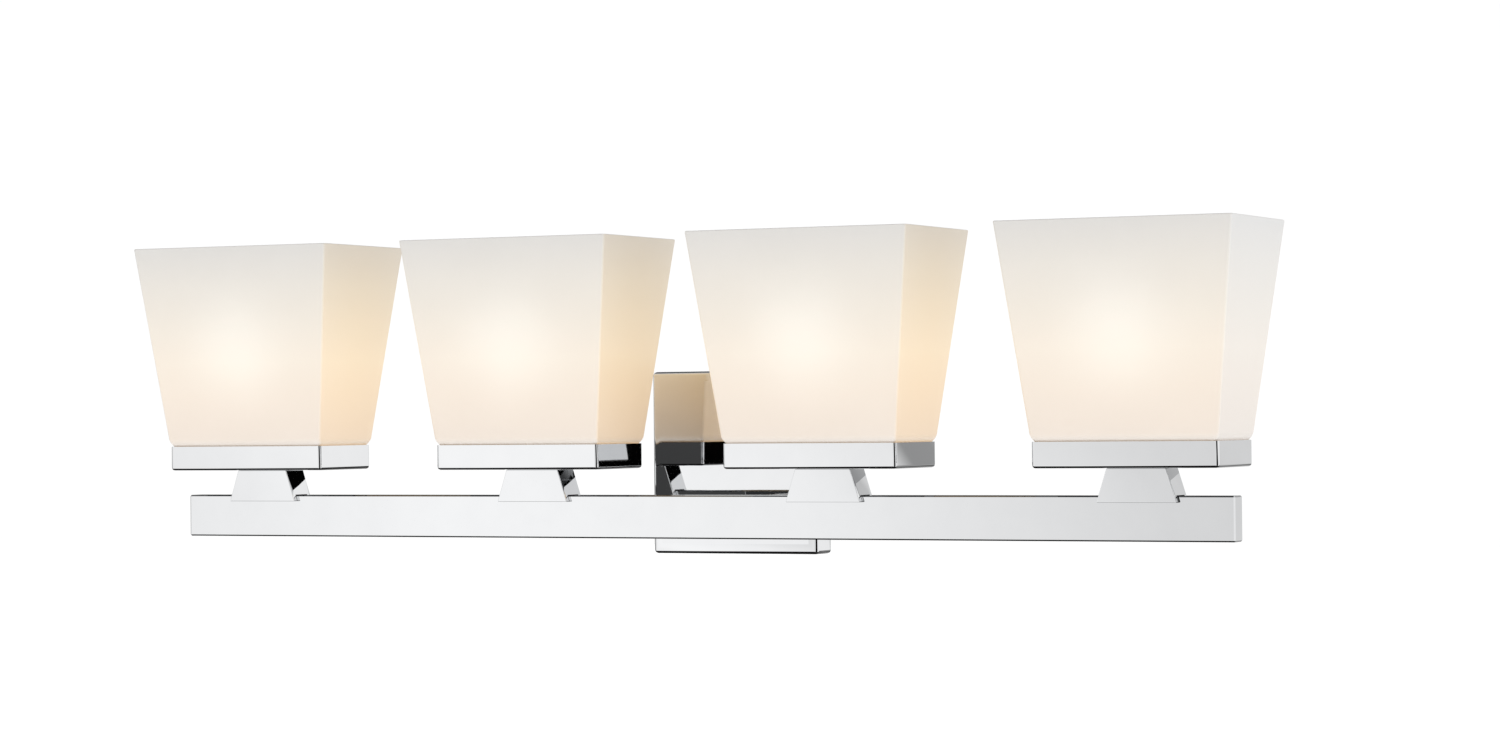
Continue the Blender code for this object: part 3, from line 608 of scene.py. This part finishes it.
def make_world():
    """A white studio: soft light, and for reflections a bright band with dark panels.

    The ramps' bearings are in degrees, from straight ahead (-y) towards +x.
    """
    world = bpy.data.worlds.new("studio")
    bpy.context.scene.world = world
    world.use_nodes = True
    nodes = Nodes(world.node_tree)
    world.node_tree.nodes.clear()
    out = nodes.add("ShaderNodeOutputWorld")
    direction = nodes.add("ShaderNodeTexCoord").outputs["Generated"]
    x, y, z = nodes.split(direction)
    turn = nodes.math("ARCTAN2", x, nodes.math("MULTIPLY", y, -1.0))
    part = nodes.math("MULTIPLY_ADD", turn, 1 / math.tau, 0.5)

    def round_ramp(*stops):
        return nodes.ramp(part, [(degrees / 360 + 0.5, tone) for degrees, tone in stops])

    ahead = round_ramp(
        (-90, 0.60), (-60, 0.72), (-36, 0.86), (-30.5, 1.0), (-25.3, 0.93), (-19.3, 0.72),
        (-14, 0.70), (-4, 0.86), (90, 0.85))
    left_panel = round_ramp((-147, 0.0), (-145, 0.92), (-104, 0.92), (-98, 0.0))
    right_panel = round_ramp((6, 0.0), (10, 0.999), (61, 0.999), (66, 0.0))
    behind_level = round_ramp(
        (-165, 0.75), (-158, 0.06), (-146, 0.06), (-138, 0.75), (-90, 0.60),
        (90, 0.85), (147, 0.88), (155.3, 0.85), (155.9, 0.28), (157.6, 0.29),
        (159.8, 0.63), (161.5, 0.65), (165, 0.60), (172, 0.72), (180, 0.75))
    behind_low = round_ramp(
        (-165, 0.75), (-158, 0.06), (-146, 0.06), (-138, 0.75), (-90, 0.60),
        (90, 0.85), (147, 0.75), (150, 0.001), (155.5, 0.001), (157, 0.28),
        (161.5, 0.45), (165, 0.50), (172, 0.60), (180, 0.75))
    lift = nodes.math("MULTIPLY_ADD", z, 0.5, 0.5)
    behind = nodes.mix(nodes.ramp(lift, ((0.44, 1.0), (0.46, 0.0))), behind_level, behind_low)
    tall = nodes.ramp(lift, (
        (0.0, 0.42), (0.10, 0.50), (0.21, 0.62), (0.245, 1.0), (0.5, 0.98), (0.95, 1.0),
        (1.0, 0.80)))
    low = nodes.ramp(lift, (
        (0.0, 0.42), (0.20, 0.62), (0.30, 1.0), (0.70, 1.0), (0.80, 0.66), (1.0, 0.80)))
    back = nodes.ramp(nodes.math("MULTIPLY_ADD", y, 0.5, 0.5), ((0.49, 0.0), (0.51, 1.0)))
    around = nodes.mix(back, nodes.math("MULTIPLY", ahead, tall),
                       nodes.math("MULTIPLY", behind, low))
    left_panel = nodes.math("MULTIPLY", left_panel, nodes.ramp(lift, (
        (0.40, 0.0), (0.43, 1.0), (0.58, 1.0), (0.61, 0.0))))
    right_panel = nodes.math("MULTIPLY", right_panel, nodes.ramp(lift, ((0.58, 1.0), (0.61, 0.0))))
    panels = nodes.math("ADD", left_panel, right_panel)
    around = nodes.scale(around, nodes.math("SUBTRACT", 1.0, panels))
    studio = nodes.scale(around, STUDIO_GAIN)
    soft = nodes.math("MULTIPLY_ADD", y, SOFT_TOWARDS_Y, SOFT_LEVEL)
    soft = nodes.math("MULTIPLY_ADD", x, SOFT_TOWARDS_X, soft)
    soft = nodes.math("MULTIPLY_ADD", nodes.math("MAXIMUM", y, 0.0), SOFT_BEHIND, soft)
    path = nodes.add("ShaderNodeLightPath").outputs
    seen = nodes.mix(path["Is Glossy Ray"], soft, studio)
    shown = nodes.mix(path["Is Camera Ray"], seen, BACKDROP)
    background = nodes.add("ShaderNodeBackground")
    nodes.link(shown, background.inputs["Color"])
    nodes.link(background.outputs[0], out.inputs["Surface"])


def make_camera():
    """The photograph's viewpoint."""
    data = bpy.data.cameras.new("camera")
    data.lens = CAMERA_LENS
    data.clip_end = 100
    camera = bpy.data.objects.new("camera", data)
    bpy.context.scene.collection.objects.link(camera)
    turn = Matrix.Rotation(CAMERA_TURN, 4, "Z")
    tilt = Matrix.Rotation(math.pi / 2 + CAMERA_TILT, 4, "X")
    roll = Matrix.Rotation(CAMERA_ROLL, 4, "Z")
    camera.matrix_world = Matrix.Translation(CAMERA_PLACE) @ turn @ tilt @ roll
    bpy.context.scene.camera = camera


def make_floor():
    """A plain pale floor, well below the light."""
    bpy.ops.mesh.primitive_plane_add(size=FLOOR_SIZE, location=(0, 0, FLOOR_HEIGHT))
    floor = bpy.context.object
    floor.name = "floor"
    material, nodes, shader, place = new_material("floor_white", roughness=0.9,
                                                  emission_strength=FLOOR_GLOW)
    nodes.link(nodes.ramp(nodes.noise(place, 0.5), ((0.3, 0.84), (0.7, 0.86))),
               shader.inputs["Base Color"])
    shader.inputs["Emission Color"].default_value = (1, 1, 1, 1)
    floor.data.materials.append(material)
    floor.visible_glossy = False
    floor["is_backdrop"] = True


materials = {
    "chrome": chrome_material(),
    "opal_glass": opal_material(),
    "porcelain": porcelain_material(),
    "brass": metal_material("brass", (0.62, 0.43, 0.17), (0.80, 0.62, 0.30), 160.0, (0.20, 0.34)),
    "zinc_steel": metal_material("zinc_steel", (0.50, 0.52, 0.54), (0.66, 0.66, 0.62), 120.0,
                                 (0.26, 0.42), (0.1, 1, 1)),
    "ring_plastic": plastic_material("ring_plastic", (0.76, 0.755, 0.73), (0.82, 0.815, 0.79),
                                     0.42, 1500.0, 0.00008),
    "bulb_glass": bulb_material(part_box("bulb_1")[0].z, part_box("bulb_1")[1].z),
    "bulb_cap": cap_material(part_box("bulb_cap_1")[0].z + 0.0043),
    "ground_green": metal_material("ground_green", (0.02, 0.18, 0.07), (0.05, 0.30, 0.12), 300.0,
                                   (0.28, 0.40)),
    "lead_white": plastic_material("lead_white", (0.74, 0.74, 0.70), (0.82, 0.82, 0.79), 0.38,
                                   900.0, 0.00006),
}
tree = smooth_tree()
slots = {part["node"]: part["material_slot"] for part in frame["record"]["subparts"]}
for node in frame["nodes"]:
    dress(node, materials[slots[node]], tree)
for number in LIGHTS:
    low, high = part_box("tray_" + number)
    centre = ((low.x + high.x) / 2, LIGHT_Y)
    make_bulb(number, centre, materials["bulb_glass"])
    make_cap(number, centre, materials["bulb_cap"])
    make_shell(number, centre, materials["brass"])
    make_holder(number, centre, materials["porcelain"])
    make_ring(number, centre, materials["ring_plastic"])
    side = math.copysign(1, centre[0])
    lane = -LEAD_LANE if number in ("1", "4") else LEAD_LANE
    make_tip(number, side, lane, materials["zinc_steel"])
make_world()
make_camera()
make_floor()
bpy.context.scene.view_settings.view_transform = "Standard"

low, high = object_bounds()
